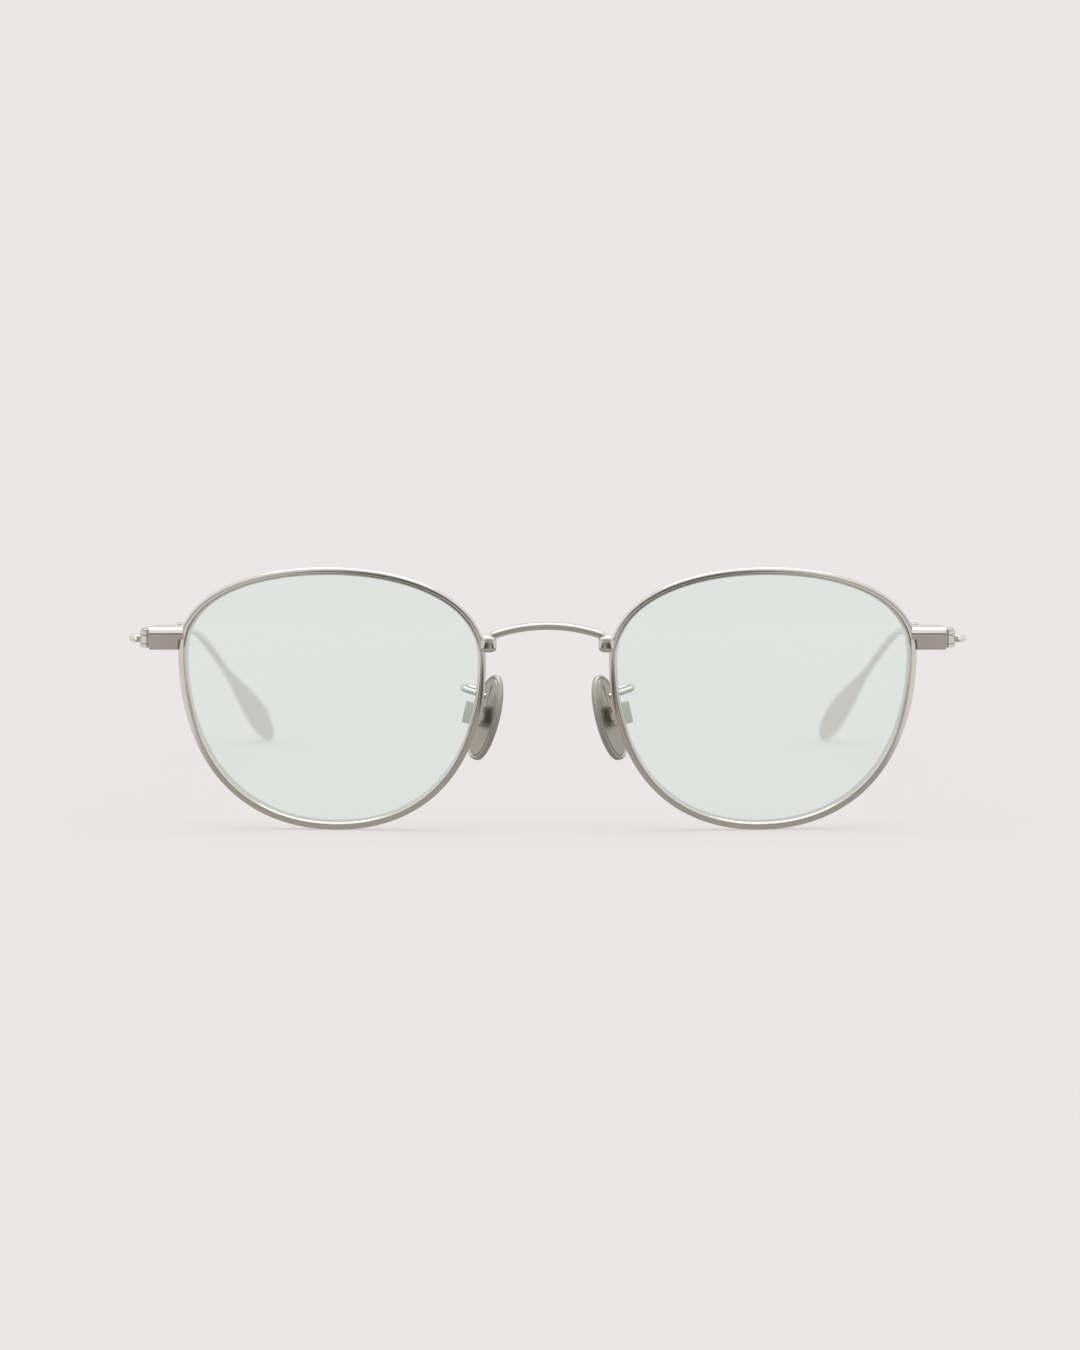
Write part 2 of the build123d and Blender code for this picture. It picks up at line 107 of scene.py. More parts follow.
# How finely lines and surfaces are drawn
QUARTER_STEPS, ARC_STEPS, SECTION_STEPS, CORNER_STEPS = 80, 24, 6, 5
RIM_POINTS, LENS_POINTS, LENS_ROWS, NASAL_POINTS = 420, 220, 14, 2000
BRIDGE_STEPS, ELBOW_STEPS, BRIDGE_POINTS, BRIDGE_FOOT_STEPS = 40, 16, 160, 6
PAD_POINTS, ARM_POINTS, ARM_CORNER_STEPS, ARM_FOOT_STEPS = 140, 130, 6, 40
TEMPLE_POINTS, BLADE_STEPS, BLADE_HALVINGS = 420, 100, 24

HALF_WIDTH = LENS_WIDTH / 2 - BEVEL_HEIGHT
HALF_HEIGHT = LENS_HEIGHT / 2 - BEVEL_HEIGHT
EYE_X = (LENS_WIDTH + LENS_GAP) / 2
RIM_HALF_WIDTH = HALF_WIDTH + RIM_WALL
UP = Vector((0, 0, 1))


# ---------------------------------------------------------------- lines and places

def eye_point(side, u, w, ahead=0.0):
    """A point u across and w up an eye, on its dome or ahead of it, on the upright front."""
    share = (BASE_CURVE + ahead) / BASE_CURVE
    u, w = u * share, w * share
    y = BASE_CURVE - math.sqrt((BASE_CURVE + ahead) ** 2 - u * u - w * w)
    turn = math.radians(FACE_FORM)
    x = EYE_X + u * math.cos(turn) - y * math.sin(turn)
    return Vector((side * x, u * math.sin(turn) + y * math.cos(turn), w))


HINGE = Vector((JOINTS["temple_left_fold"]["pos_m"][0] / MM,
                eye_point(1, RIM_HALF_WIDTH, HINGE_HEIGHT).y + HINGE_SETBACK, HINGE_HEIGHT))


def make_stand():
    """From the upright front in millimetres to the standing glasses in metres."""
    joint = JOINTS["temple_left_fold"]
    axis = Vector(joint["axis"])
    lean = Matrix.Rotation(math.atan2(-axis.y, axis.z), 4, "X")
    return Matrix.Translation(joint["pos_m"]) @ lean @ Matrix.Scale(MM, 4) @ Matrix.Translation(-HINGE)


STAND = make_stand()


def bezier(points, t):
    """A point on a Bezier curve of any order."""
    while len(points) > 1:
        points = [a.lerp(b, t) for a, b in zip(points, points[1:])]
    return points[0]


def quarter(crown, edge, crown_fullness, edge_fullness):
    """A quarter outline's handles, level at its crown and upright at its edge."""
    reach = edge - crown
    return [crown, crown + Vector((crown_fullness * reach.x, 0)),
            edge - Vector((0, edge_fullness * reach.y)), edge]


def closed_line(quarters, count):
    """Evenly spaced points round four quarters, each given from its crown to its edge."""
    line = []
    for number, handles in enumerate(quarters):
        if number % 2:
            handles = handles[::-1]
        line += [bezier(handles, i / QUARTER_STEPS) for i in range(QUARTER_STEPS)]
    return evenly(line + line[:1], count, True)


def evenly(line, count, closed=False):
    """Points spaced evenly along a polyline, without the last one where it is closed."""
    lengths = [0.0]
    for a, b in zip(line, line[1:]):
        lengths.append(lengths[-1] + (b - a).length)
    steps = count if closed else count - 1
    found, at = [], 0
    for i in range(count):
        want = lengths[-1] * i / steps
        while at < len(line) - 2 and lengths[at + 1] < want:
            at += 1
        share = (want - lengths[at]) / (lengths[at + 1] - lengths[at])
        found.append(line[at].lerp(line[at + 1], share))
    return found


def eye_outline(grow, count):
    """The eye's outline grown by a distance, clockwise from its top."""
    width, height = HALF_WIDTH + grow, HALF_HEIGHT + grow
    top, bottom = Vector((0, height)), Vector((-BOTTOM_SHIFT, -height))
    outer, inner = Vector((width, EDGE_HEIGHTS[1])), Vector((-width, EDGE_HEIGHTS[-1]))
    return closed_line([quarter(top, outer, TOP_FULLNESS, UPPER_FULLNESS),
                        quarter(bottom, outer, BOTTOM_FULLNESS, LOWER_FULLNESS),
                        quarter(bottom, inner, BOTTOM_FULLNESS, LOWER_FULLNESS),
                        quarter(top, inner, TOP_FULLNESS, UPPER_FULLNESS)], count)


def rounded_path(corners, radii, count):
    """Straight runs joined by arcs, as evenly spaced points."""
    line = [corners[0]]
    for before, corner, after, radius in zip(corners, corners[1:], corners[2:], radii):
        way_in, way_out = (corner - before).normalized(), (after - corner).normalized()
        angle = way_in.angle(way_out)
        start = corner - way_in * radius * math.tan(angle / 2)
        inwards = (way_out - way_in * way_in.dot(way_out)).normalized()
        for i in range(ARC_STEPS + 1):
            turned = angle * i / ARC_STEPS
            line.append(start + way_in * radius * math.sin(turned)
                        + inwards * radius * (1 - math.cos(turned)))
    line.append(corners[-1])
    return evenly(line, count)


def headings(path):
    """The way a path runs at each of its points."""
    ends = [path[0]] + path + [path[-1]]
    return [(after - before).normalized() for before, after in zip(ends, ends[2:])]


def carried(path, up):
    """A direction carried along a path without twisting."""
    ups = []
    for way in headings(path):
        up = (up - way * up.dot(way)).normalized()
        ups.append(up)
    return ups


def heading(toe_in, drop):
    """The direction that runs back, turned inwards and down by two angles."""
    inwards, down = math.radians(toe_in), math.radians(drop)
    level = math.cos(down)
    return Vector((-math.sin(inwards) * level, math.cos(inwards) * level, -math.sin(down)))


def mirrored(points, side):
    """Points of the wearer's left side, or their mirror image on the right."""
    return [Vector((side * p.x, p.y, p.z)) for p in points]


# ---------------------------------------------------------------- meshes and pieces

def skin(rings):
    """A closed surface through rings of points on the upright front."""
    shape = bmesh.new()
    rows = [[shape.verts.new(STAND @ point) for point in ring] for ring in rings]
    count = len(rows[0])
    for a, b in zip(rows, rows[1:]):
        for i in range(count):
            shape.faces.new((a[i], a[(i + 1) % count], b[(i + 1) % count], b[i]))
    for row in (rows[0], rows[-1]):
        middle = shape.verts.new(sum((v.co for v in row), Vector()) / count)
        for i in range(count):
            shape.faces.new((row[i], row[(i + 1) % count], middle))
    bmesh.ops.recalc_face_normals(shape, faces=shape.faces)
    mesh = bpy.data.meshes.new("skin")
    shape.to_mesh(mesh)
    shape.free()
    for face in mesh.polygons:
        face.use_smooth = True
    return mesh


def add_piece(name, mesh, material, body, node):
    """Shows a finished mesh as a piece that rides on a body and stands for a CAD node."""
    mesh.name = name
    mesh.materials.clear()
    mesh.materials.append(material)
    piece = bpy.data.objects.new(name, mesh)
    bpy.context.scene.collection.objects.link(piece)
    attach(piece, body)
    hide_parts(node)


def rounded_section(half_width, half_depth, radius):
    """A rounded rectangle's outline as (across, through) pairs."""
    radius = min(radius, half_width, half_depth)
    pairs = []
    for number in range(4):
        across = half_width - radius if number in (0, 3) else radius - half_width
        through = half_depth - radius if number in (0, 1) else radius - half_depth
        for i in range(SECTION_STEPS + 1):
            turn = math.radians(90 * (number + i / SECTION_STEPS))
            pairs.append((across + radius * math.cos(turn), through + radius * math.sin(turn)))
    return pairs


# ---------------------------------------------------------------- wire drawn along a path

def wire_tree():
    """Geometry Nodes: a rounded bar swept along a path whose points carry their own up."""
    tree = bpy.data.node_groups.new("wire_along_path", "GeometryNodeTree")
    inputs = (("Path", "Geometry"), ("Section Width", "Float"), ("Section Depth", "Float"),
              ("Corner Radius", "Float"), ("Corner Steps", "Int"), ("Finish", "Material"))
    for name, kind in inputs:
        tree.interface.new_socket(name, in_out="INPUT", socket_type="NodeSocket" + kind)
    tree.interface.new_socket("Wire", in_out="OUTPUT", socket_type="NodeSocketGeometry")
    given = add(tree, "NodeGroupInput").outputs
    up = add(tree, "GeometryNodeInputNamedAttribute", {"data_type": "FLOAT_VECTOR"}, Name="section_up")
    path = add(tree, "GeometryNodeMeshToCurve", links={"Mesh": given["Path"]})
    turned = add(tree, "GeometryNodeSetCurveNormal", {"mode": "FREE"}, {
        "Curve": path.outputs["Curve"], "Normal": up.outputs["Attribute"]})
    block = add(tree, "GeometryNodeCurvePrimitiveQuadrilateral", {"mode": "RECTANGLE"}, {
        "Width": given["Section Depth"], "Height": given["Section Width"]})
    section = add(tree, "GeometryNodeFilletCurve", {"mode": "POLY"}, {
        "Curve": block.outputs["Curve"], "Radius": given["Corner Radius"],
        "Count": given["Corner Steps"]}, Limit_Radius=True)
    wire = add(tree, "GeometryNodeCurveToMesh", {}, {
        "Curve": turned.outputs["Curve"], "Profile Curve": section.outputs["Curve"]}, Fill_Caps=True)
    smooth = add(tree, "GeometryNodeSetShadeSmooth", links={"Geometry": wire.outputs["Mesh"]})
    whole = add(tree, "GeometryNodeRealizeInstances", links={"Geometry": smooth.outputs["Geometry"]})
    finished = add(tree, "GeometryNodeSetMaterial", links={
        "Geometry": whole.outputs["Geometry"], "Material": given["Finish"]})
    add(tree, "NodeGroupOutput", links={"Wire": finished.outputs["Geometry"]})
    return tree


def draw_wire(path, ups, width, depth, corner, steps, finish, closed=False):
    """A wire's mesh along a path, with the way its section's depth points at each place."""
    count = len(path)
    edges = [(i, i + 1) for i in range(count - 1)] + ([(count - 1, 0)] if closed else [])
    guide = bpy.data.meshes.new("guide")
    guide.from_pydata([STAND @ point for point in path], edges, [])
    turn = STAND.to_3x3().normalized()
    attribute = guide.attributes.new("section_up", "FLOAT_VECTOR", "POINT")
    for item, up in zip(attribute.data, ups):
        item.vector = turn @ up
    holder = bpy.data.objects.new("guide", guide)
    bpy.context.scene.collection.objects.link(holder)
    modifier = holder.modifiers.new("wire", "NODES")
    modifier.node_group = WIRE_TREE
    sizes = {"Section Width": width * MM, "Section Depth": depth * MM,
             "Corner Radius": corner * MM, "Corner Steps": steps, "Finish": finish}
    for item in WIRE_TREE.interface.items_tree:
        if item.in_out == "INPUT" and item.name in sizes:
            modifier[item.identifier] = sizes[item.name]
    bpy.context.view_layer.update()
    shown = holder.evaluated_get(bpy.context.evaluated_depsgraph_get())
    mesh = bpy.data.meshes.new_from_object(shown)
    bpy.data.objects.remove(holder)
    bpy.data.meshes.remove(guide)
    return closed_outwards(mesh)


def closed_outwards(mesh):
    """Merges a mesh's doubled points and turns its faces outwards."""
    shape = bmesh.new()
    shape.from_mesh(mesh)
    bmesh.ops.remove_doubles(shape, verts=shape.verts, dist=MERGE_DISTANCE * MM)
    bmesh.ops.recalc_face_normals(shape, faces=shape.faces)
    shape.to_mesh(mesh)
    shape.free()
    return mesh


# ---------------------------------------------------------------- colours and node helpers

def srgb(code):
    """An sRGB hex code as a linear colour with alpha."""
    parts = [int(code[i:i + 2], 16) / 255 for i in (1, 3, 5)]
    linear = [p / 12.92 if p <= 0.04045 else ((p + 0.055) / 1.055) ** 2.4 for p in parts]
    return (*linear, 1.0)


def add(tree, kind, settings=None, links=None, **values):
    """Adds a node: its settings, its unlinked inputs by name, and links {input: socket}."""
    node = tree.nodes.new(kind)
    for name, value in (settings or {}).items():
        setattr(node, name, value)
    for name, value in values.items():
        node.inputs[name.replace("_", " ")].default_value = value
    for name, socket in (links or {}).items():
        tree.links.new(socket, node.inputs[name])
    return node


def new_material(name):
    """An empty material with its tree and output."""
    material = bpy.data.materials.new(name)
    material.use_nodes = True
    tree = material.node_tree
    tree.nodes.clear()
    return material, tree, add(tree, "ShaderNodeOutputMaterial")


# ---------------------------------------------------------------- materials

# In every metal: how wide the clouds of tone are, and how far roughness and bump vary
CLOUD_SCALE, ROUGHNESS_SPREAD, GRAIN_BUMP = 220.0, 0.05, 0.02


def satin_metal(name, light, dark, roughness, grain_mm):
    """A bare metal with a fine grain, which is drawn coarser than the real one."""
    material, tree, output = new_material(name)
    place = add(tree, "ShaderNodeTexCoord").outputs["Object"]
    grain = 1 / (grain_mm * MM)
    fine = add(tree, "ShaderNodeTexNoise", links={"Vector": place},
               Scale=grain, Detail=2.0, Roughness=0.6)
    broad = add(tree, "ShaderNodeTexNoise", links={"Vector": place}, Scale=CLOUD_SCALE, Detail=3.0)
    tone = add(tree, "ShaderNodeValToRGB", links={"Fac": broad.outputs["Fac"]})
    for element, colour in zip(tone.color_ramp.elements, (dark, light)):
        element.color = srgb(colour)
    rough = add(tree, "ShaderNodeMapRange", links={"Value": fine.outputs["Fac"]})
    rough.inputs["To Min"].default_value = roughness - ROUGHNESS_SPREAD
    rough.inputs["To Max"].default_value = roughness + ROUGHNESS_SPREAD
    height = add(tree, "ShaderNodeBump", links={"Height": fine.outputs["Fac"]},
                 Strength=GRAIN_BUMP, Distance=grain_mm * MM)
    shader = add(tree, "ShaderNodeBsdfPrincipled", Metallic=1.0, links={
        "Base Color": tone.outputs["Color"],
        "Roughness": rough.outputs["Result"],
        "Normal": height.outputs["Normal"],
    })
    tree.links.new(shader.outputs["BSDF"], output.inputs["Surface"])
    return material


def tinted_lens():
    """Hard-coated optical resin, dyed a pale green all through: clear, with a faint gloss."""
    material, tree, output = new_material("tinted_optical_resin")
    tint, coating, clear_share = srgb("#F7FEFC"), 0.6, 0.7
    # The faces run parallel and bend nothing that shows, so the body's IOR is near that of air
    body = add(tree, "ShaderNodeBsdfPrincipled", Base_Color=tint, Roughness=0.0, IOR=1.01)
    body.inputs["Transmission Weight"].default_value = 1.0
    body.inputs["Coat Weight"].default_value = coating
    # A large clear share keeps the coating's mirror image faint
    clear = add(tree, "ShaderNodeBsdfTransparent", Color=tint)
    mixed = add(tree, "ShaderNodeMixShader")
    mixed.inputs[0].default_value = clear_share
    tree.links.new(body.outputs["BSDF"], mixed.inputs[1])
    tree.links.new(clear.outputs["BSDF"], mixed.inputs[2])
    tree.links.new(mixed.outputs["Shader"], output.inputs["Surface"])
    return material


def washer_resin():
    """Moulded acetal: milky, with a soft sheen. Its mottling is drawn coarser than the real one."""
    material, tree, output = new_material("moulded_acetal")
    place = add(tree, "ShaderNodeTexCoord").outputs["Object"]
    grain = add(tree, "ShaderNodeTexNoise", links={"Vector": place}, Scale=3000.0)
    rough = add(tree, "ShaderNodeMapRange", links={"Value": grain.outputs["Fac"]})
    rough.inputs["To Min"].default_value = 0.4
    rough.inputs["To Max"].default_value = 0.55
    shader = add(tree, "ShaderNodeBsdfPrincipled", links={"Roughness": rough.outputs["Result"]})
    shader.inputs["Base Color"].default_value = srgb("#D8D5CC")
    tree.links.new(shader.outputs["BSDF"], output.inputs["Surface"])
    return material


# Tumbled titanium: soft bright lines along the wires and no sharp mirror image
TITANIUM = satin_metal("satin_titanium", "#E4E0DA", "#DAD6D0", 0.17, 0.05)
# Turned steel: a little greyer and duller than the wires
SCREW = satin_metal("turned_steel_screw", "#DAD8D4", "#CFCDC9", 0.3, 0.05)
# Blasted titanium: darker and duller again, so that the pads look matt
PAD = satin_metal("blasted_titanium_pad", "#C4BEB7", "#B8B2AB", 0.4, 0.06)
LENS = tinted_lens()
RESIN = washer_resin()
WIRE_TREE = wire_tree()

SLOT_MATERIALS = {"satin_titanium": TITANIUM, "screw_steel": SCREW, "pad_titanium": PAD,
                  "green_tinted_lens": LENS, "washer_resin": RESIN}
for part in frame["record"]["subparts"]:
    mesh = NODES[part["node"]].data
    mesh.materials.clear()
    mesh.materials.append(SLOT_MATERIALS[part["material_slot"]])


# ---------------------------------------------------------------- front

def make_rim(name, side):
    """The rim wire, whose section leans with the lens's curve all round."""
    outline = eye_outline(RIM_WALL / 2, RIM_POINTS)
    path = [eye_point(side, u, w) for u, w in outline]
    ups = [(eye_point(side, u, w, 1.0) - eye_point(side, u, w)).normalized() for u, w in outline]
    mesh = draw_wire(path, ups, RIM_WALL, RIM_DEPTH, RIM_CORNER, CORNER_STEPS, TITANIUM, closed=True)
    add_piece(f"rim_wire_{name}", mesh, TITANIUM, "front", f"rim_{name}")


def make_lens(name, side):
    """A domed lens whose faces meet its edge in small chamfers."""
    half = LENS_THICKNESS / 2
    outline = eye_outline(LENS_LAP, LENS_POINTS)
    flat = [(row / LENS_ROWS, half) for row in range(1, LENS_ROWS)]
    flat += [(1 - inset / HALF_HEIGHT, half) for inset in (2 * LENS_CHAMFER, LENS_CHAMFER)]
    front = flat + [(1.0, half - LENS_CHAMFER)]
    stations = front + [(share, -ahead) for share, ahead in reversed(front)]
    rings = [[eye_point(side, u * share, w * share, ahead) for u, w in outline]
             for share, ahead in stations]
    add_piece(f"lens_resin_{name}", skin(rings), LENS, "front", f"lens_{name}")


def make_bridge():
    """An arched bar whose ends turn down into soft feet on the rims."""
    nasal = eye_point(1, -RIM_HALF_WIDTH, FOOT_BOTTOM).x
    turn = math.asin((nasal - BRIDGE_INSET) / BRIDGE_RADIUS)
    top = FOOT_BOTTOM + BRIDGE_RISE
    turns = [turn * i / BRIDGE_STEPS for i in range(BRIDGE_STEPS + 1)]
    half = [Vector((BRIDGE_RADIUS * math.sin(turned), 0, top - BRIDGE_RADIUS * (1 - math.cos(turned))))
            for turned in turns]
    way = Vector((math.cos(turn), 0, -math.sin(turn)))
    down = Vector((way.z, 0, -way.x))
    for i in range(1, ELBOW_STEPS + 1):
        bent = math.radians(ELBOW_ANGLE) * i / ELBOW_STEPS
        half.append(half[BRIDGE_STEPS] + way * ELBOW_RADIUS * math.sin(bent)
                    + down * ELBOW_RADIUS * (1 - math.cos(bent)))
    half.append(half[-1] + (half[-1] - half[-2]).normalized() * BRIDGE_LEG)
    path = evenly(mirrored(half[:0:-1], -1) + half, BRIDGE_POINTS)
    ups = [Vector((0, -1, 0))] * len(path)
    bar = draw_wire(path, ups, BAR_HEIGHT, BAR_DEPTH, BAR_CORNER, CORNER_STEPS, TITANIUM)
    add_piece("bridge_bar", bar, TITANIUM, "front", "bridge")
    across, through, tall = (size / 2 for size in FOOT_SIZE)
    for name, side in SIDES.items():
        middle = Vector((side * (nasal + FOOT_LAP - across), 0, FOOT_BOTTOM + tall))
        bends = [math.radians(90 * i / BRIDGE_FOOT_STEPS) for i in range(BRIDGE_FOOT_STEPS + 1)]
        ends = [(FOOT_RADIUS * (1 - math.sin(bent)), tall - FOOT_RADIUS * (1 - math.cos(bent)))
                for bent in bends]
        stations = [(inset, -height) for inset, height in ends] + ends[::-1]
        rings = [[middle + Vector((x, y, height)) for x, y in
                  rounded_section(across - inset, through - inset, FOOT_RADIUS - FOOT_INSET_SHARE * inset)]
                 for inset, height in stations]
        add_piece(f"bridge_foot_{name}", skin(rings), TITANIUM, "front", "bridge")


# ---------------------------------------------------------------- nose pads and their arms

def pad_axes():
    """The nose pad's outer face: its middle, and the ways to its back edge, up it and outwards."""
    splay, lean = math.radians(PAD_SPLAY), math.radians(PAD_FRONTAL)
    back = Vector((math.sin(splay), math.cos(splay), 0))
    out = Vector((math.cos(splay), -math.sin(splay), 0)) * math.cos(lean) + UP * math.sin(lean)
    middle = Vector((eye_point(1, -RIM_HALF_WIDTH, 0).x + PAD_OUTSET, PAD_SETBACK, PAD_HEIGHT))
    return middle, back, out.cross(back), out


def make_pad(name, side):
    """The pad's plate, with a fine groove round its outer face and a rolled edge."""
    middle, back, up, out = pad_axes()
    top, bottom = Vector((PAD_TOP_SHIFT, PAD_LENGTH / 2)), Vector((PAD_BOTTOM_SHIFT, -PAD_LENGTH / 2))
    front_edge, back_edge = Vector(PAD_FRONT), Vector(PAD_BACK)
    crown, edge = PAD_CROWN_FULLNESS, PAD_SIDE_FULLNESS
    outline = closed_line([quarter(top, back_edge, crown, edge),
                           quarter(bottom, back_edge, edge, crown),
                           quarter(bottom, front_edge, edge, crown),
                           quarter(top, front_edge, crown, edge)], PAD_POINTS)
    ends = outline[-1:] + outline + outline[:1]
    inwards = [Vector((after - before).yx) * Vector((1, -1)) for before, after in zip(ends, ends[2:])]
    inwards = [way.normalized() if way.dot(-point) > 0 else -way.normalized()
               for way, point in zip(inwards, outline)]
    rings = []
    for inset, depth in PAD_SECTION:
        flat = [point + way * inset for point, way in zip(outline, inwards)]
        rings.append(mirrored([middle + back * x + up * y + out * depth for x, y in flat], side))
    add_piece(f"pad_plate_{name}", skin(rings), PAD, f"nose_pad_{name}",
              f"nose_pad_{name}")


def make_arm(name, side):
    """The pad arm: a foot brazed along the back of the rim, and a looped wire to the pad box."""
    middle, back, up, out = pad_axes()
    x, nasal_y = eye_point(1, -RIM_HALF_WIDTH, 0)[:2]
    y = nasal_y + RIM_DEPTH / 2 + ARM_RADIUS - ARM_SUNK
    swing = Vector((x + ARM_REACH, y + ARM_SETBACK, ARM_HEIGHT))
    seat = middle + up * ARM_SEAT_UP + out * ARM_SEAT_OUT
    corners = [Vector((x, y, ARM_LEAVE)), swing, swing + Vector((0, ARM_DEPTH, 0)),
               seat + up * ARM_STEM, seat]
    path = mirrored(rounded_path(corners, (ARM_LOOP, ARM_LOOP, ARM_BEND), ARM_POINTS), side)
    loop = draw_wire(path, carried(path, UP), 2 * ARM_RADIUS, 2 * ARM_RADIUS,
                     ROUND_SHARE * ARM_RADIUS, ARM_CORNER_STEPS, TITANIUM)
    add_piece(f"pad_arm_loop_{name}", loop, TITANIUM, "front", f"pad_arm_{name}")
    rings = []
    for i in range(ARM_FOOT_STEPS + 1):
        height = ARM_FOOT_TOP + (ARM_FOOT_BOTTOM - ARM_FOOT_TOP) * i / ARM_FOOT_STEPS
        inside = min(i, ARM_FOOT_STEPS - i) / ARM_FOOT_STEPS
        radius = ARM_RADIUS * min(1, ARM_FOOT_TIP + ARM_FOOT_TAPER * math.sqrt(inside))
        place = eye_point(1, -nasal_reach(height), height, -RIM_DEPTH / 2 - ARM_RADIUS + ARM_SUNK)
        rings.append([Vector((side * (place.x + across), place.y + through, height))
                      for across, through in rounded_section(radius, radius, radius)])
    add_piece(f"pad_arm_foot_{name}", skin(rings), TITANIUM, "front",
              f"pad_arm_{name}")


def nasal_reach(height):
    """How far the middle of the rim's wire lies from the eye's middle, towards the nose."""
    near = [point for point in NASAL_LINE if point.x < 0]
    return -min(near, key=lambda point: abs(point.y - height)).x


# ---------------------------------------------------------------- temples

def blade_width(along):
    """The blade's half width at a distance from its root."""
    waist = BLADE_WAIST * TEMPLE_RADIUS
    widest, end = Vector((BLADE_WIDEST, BLADE_HALF_WIDTH)), Vector((BLADE_LENGTH, 0))
    swell = [Vector((0, waist)), Vector((SWELL_START * BLADE_WIDEST, waist)),
             Vector((SWELL_END * BLADE_WIDEST, BLADE_HALF_WIDTH)), widest]
    nose = [widest, widest + Vector((NOSE_SIDE, 0)),
            end + Vector((0, NOSE_END * BLADE_HALF_WIDTH)), end]
    line = swell if along < BLADE_WIDEST else nose
    low, high = 0.0, 1.0
    for _ in range(BLADE_HALVINGS):
        t = (low + high) / 2
        low, high = (t, high) if bezier(line, t).x < along else (low, t)
    return bezier(line, low).y


def make_temple(name, side):
    """The temple: round wire that bows out from the hinge and runs into a flat leaf at its tip."""
    corner = HINGE + Vector((TEMPLE_BOW, 0, 0))
    run, tip_way = heading(TOE_IN, TEMPLE_DROP), heading(TIP_TOE_IN, TIP_DROP)
    bend = corner + run * (TEMPLE_STRAIGHT / run.y)
    root = bend + tip_way * (TIP_LENGTH - BLADE_LENGTH)
    path = rounded_path([HINGE + Vector((TAIL_REACH, 0, 0)), corner, bend, root],
                        (BOW_RADIUS, BEND_RADIUS), TEMPLE_POINTS)
    rings = [temple_ring(place, way, TEMPLE_RADIUS, TEMPLE_RADIUS, TEMPLE_RADIUS)
             for place, way in zip(path, headings(path))]
    for i in range(1, BLADE_STEPS):
        along = BLADE_LENGTH * (1 - (1 - i / BLADE_STEPS) ** 2)
        width, flat = blade_width(along), min(1, along / BLADE_MERGE)
        rolled = BLADE_EDGE - min(width, BLADE_EDGE)
        depth = BLADE_THICKNESS / 2 - BLADE_EDGE + math.sqrt(BLADE_EDGE ** 2 - rolled ** 2)
        radius = TEMPLE_RADIUS + (BLADE_EDGE - TEMPLE_RADIUS) * flat
        depth = TEMPLE_RADIUS + (depth - TEMPLE_RADIUS) * flat
        rings.append(temple_ring(root + tip_way * along, tip_way, width, depth, radius))
    mesh = skin([mirrored(ring, side) for ring in rings])
    add_piece(f"temple_wire_{name}", mesh, TITANIUM, f"temple_{name}",
              f"temple_{name}")


def temple_ring(place, way, half_width, half_depth, radius):
    """A section of the temple, its width upright and its depth sideways."""
    across = way.cross(UP).normalized()
    upright = across.cross(way)
    return [place + upright * u + across * v
            for u, v in rounded_section(half_width, half_depth, radius)]


NASAL_LINE = eye_outline(RIM_WALL / 2, NASAL_POINTS)
make_bridge()
for name, side in SIDES.items():
    make_rim(name, side)
    make_lens(name, side)
    make_pad(name, side)
    make_arm(name, side)
    make_temple(name, side)


# ---------------------------------------------------------------- studio

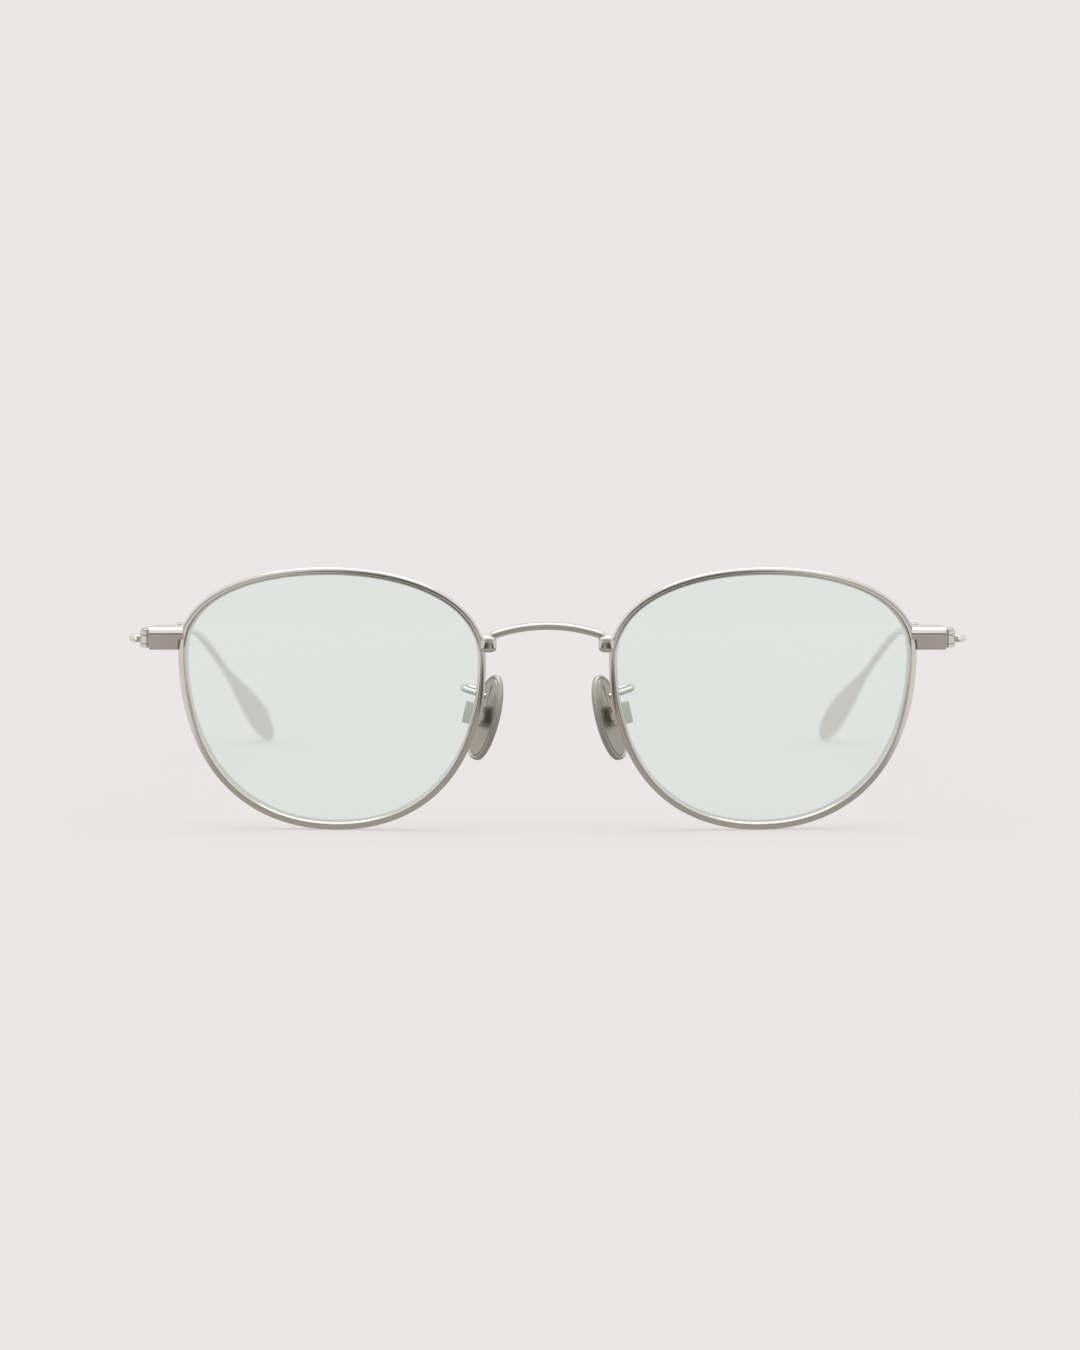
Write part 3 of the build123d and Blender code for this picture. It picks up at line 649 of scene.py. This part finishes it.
def plain_backdrop():
    """A pale paper sweep that glows evenly, takes soft shadows close to the glasses and shows the metal painted
    reflections of dark shapes.
    """
    material, tree, output = new_material("pale_paper_with_painted_reflections")
    shade_near, shade_far, shade_depth = 0.1, 0.35, 0.4
    # Where the painted reflections lie, and how narrow they are across
    narrowing, reflection_x, reflection_y = 4, 0.032, -0.2
    tint = srgb("#ECE6E6")
    paper = add(tree, "ShaderNodeBsdfDiffuse", Color=srgb("#D6D0D0"))
    glow = add(tree, "ShaderNodeEmission", Color=tint, Strength=1.0)
    place = add(tree, "ShaderNodeNewGeometry").outputs["Position"]
    apart = add(tree, "ShaderNodeVectorMath", {"operation": "LENGTH"}, {"Vector": place})
    shaded = add(tree, "ShaderNodeMapRange", {"interpolation_type": "SMOOTHSTEP"}, {
        "Value": apart.outputs["Value"]}, From_Min=shade_near, From_Max=shade_far,
        To_Min=shade_depth, To_Max=0.0)
    lit = add(tree, "ShaderNodeMixShader")
    tree.links.new(shaded.outputs["Result"], lit.inputs[0])
    tree.links.new(glow.outputs["Emission"], lit.inputs[1])
    tree.links.new(paper.outputs["BSDF"], lit.inputs[2])
    # Painted reflections: dark shapes with a grey border in front of each lens, which only glossy rays see, so
    # that only the metal mirrors them
    parts = add(tree, "ShaderNodeSeparateXYZ", links={"Vector": place})
    either = add(tree, "ShaderNodeMath", {"operation": "ABSOLUTE"}, {"Value": parts.outputs["X"]})
    spot = add(tree, "ShaderNodeCombineXYZ", links={
        "X": either.outputs["Value"], "Y": parts.outputs["Y"]})
    narrowed = add(tree, "ShaderNodeVectorMath", {"operation": "MULTIPLY"})
    narrowed.inputs[1].default_value = (narrowing, 1, 1)
    tree.links.new(spot.outputs["Vector"], narrowed.inputs[0])
    aside = add(tree, "ShaderNodeVectorMath", {"operation": "DISTANCE"})
    aside.inputs[1].default_value = (narrowing * reflection_x, reflection_y, 0)
    tree.links.new(narrowed.outputs["Vector"], aside.inputs[0])
    reflection_tones = add(tree, "ShaderNodeValToRGB", links={"Fac": aside.outputs["Value"]})
    stops = ((0.08, "#2E2A26"), (0.11, "#AEA8A0"), (0.18, "#AEA8A0"), (0.26, "#ECE6E6"))
    while len(reflection_tones.color_ramp.elements) < len(stops):
        reflection_tones.color_ramp.elements.new(0.5)
    for element, (reach, tone) in zip(reflection_tones.color_ramp.elements, stops):
        element.position, element.color = reach, srgb(tone)
    # Painted reflection: the dark shapes glow, for glossy rays only
    painted_reflection = add(tree, "ShaderNodeEmission", links={"Color": reflection_tones.outputs["Color"]}, Strength=1.0)
    ray = add(tree, "ShaderNodeLightPath").outputs
    mirror = add(tree, "ShaderNodeMath", {"operation": "SUBTRACT", "use_clamp": True})
    tree.links.new(ray["Is Glossy Ray"], mirror.inputs[0])
    tree.links.new(ray["Is Transmission Ray"], mirror.inputs[1])
    seen = add(tree, "ShaderNodeMixShader")
    tree.links.new(mirror.outputs["Value"], seen.inputs[0])
    tree.links.new(lit.outputs["Shader"], seen.inputs[1])
    tree.links.new(painted_reflection.outputs["Emission"], seen.inputs[2])
    tree.links.new(seen.outputs["Shader"], output.inputs["Surface"])
    half, front, bend, radius, top, steps = 6.0, -4.0, 3.0, 2.0, 6.0, 24
    floor = min(0.0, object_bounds()[0][2])
    section = [(front, floor)]
    for i in range(steps + 1):
        turn = math.radians(90 * i / steps)
        section.append((bend + radius * math.sin(turn), floor + radius * (1 - math.cos(turn))))
    section.append((bend + radius, top))
    verts = [(x, y, z) for y, z in section for x in (-half, half)]
    faces = [(2 * i, 2 * i + 1, 2 * i + 3, 2 * i + 2) for i in range(len(section) - 1)]
    mesh = bpy.data.meshes.new("backdrop")
    mesh.from_pydata(verts, [], faces)
    for face in mesh.polygons:
        face.use_smooth = True
    mesh.materials.append(material)
    sweep = bpy.data.objects.new("backdrop", mesh)
    bpy.context.scene.collection.objects.link(sweep)


def softbox(name, place, target, size, power):
    """A rectangular area lamp aimed at a point."""
    lamp = bpy.data.lights.new(name, "AREA")
    lamp.shape = "RECTANGLE"
    lamp.size, lamp.size_y = size
    lamp.energy = power
    holder = bpy.data.objects.new(name, lamp)
    holder.location = place
    holder.rotation_euler = (Vector(target) - Vector(place)).to_track_quat("-Z", "Y").to_euler()
    bpy.context.scene.collection.objects.link(holder)


def light_studio():
    """A tent of light, dimmer round the horizon and dark towards the front, and a softbox above."""
    world = bpy.data.worlds.new("studio")
    bpy.context.scene.world = world
    world.use_nodes = True
    tree = world.node_tree
    way = add(tree, "ShaderNodeTexCoord").outputs["Generated"]
    parts = add(tree, "ShaderNodeSeparateXYZ", links={"Vector": way})
    tent = add(tree, "ShaderNodeMapRange", {"interpolation_type": "SMOOTHSTEP"}, {
        "Value": parts.outputs["Z"]}, From_Min=0.08, From_Max=0.3, To_Min=0.42, To_Max=1.0)
    flag = add(tree, "ShaderNodeMapRange", {"interpolation_type": "SMOOTHSTEP"}, {
        "Value": parts.outputs["Y"]}, From_Min=-0.985, From_Max=-0.93, To_Min=0.1, To_Max=1.0)
    level = add(tree, "ShaderNodeMath", {"operation": "MULTIPLY"})
    tree.links.new(tent.outputs["Result"], level.inputs[0])
    tree.links.new(flag.outputs["Result"], level.inputs[1])
    background = tree.nodes["Background"]
    background.inputs["Color"].default_value = srgb("#FFFDFA")
    tree.links.new(level.outputs["Value"], background.inputs["Strength"])
    softbox("overhead", place=(0, 0, 1.5), target=(0, 0, 0), size=(1.4, 1.4), power=9)


def place_camera():
    """In front of the glasses and a little above them, with a long lens."""
    distance, height, aside = 0.900, 0.113, -0.0012
    pitch, focal_length = 5.577, 151.7
    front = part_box("rim_left")[0].y
    data = bpy.data.cameras.new("camera")
    data.sensor_width = 36.0
    data.lens = focal_length
    data.clip_start = 0.05
    data.clip_end = 50.0
    camera = bpy.data.objects.new("camera", data)
    camera.location = (aside, front - distance, height)
    camera.rotation_euler = (math.radians(90 - pitch), 0, 0)
    bpy.context.scene.collection.objects.link(camera)
    bpy.context.scene.camera = camera


plain_backdrop()
light_studio()
place_camera()
bpy.context.scene.view_settings.view_transform = "Standard"
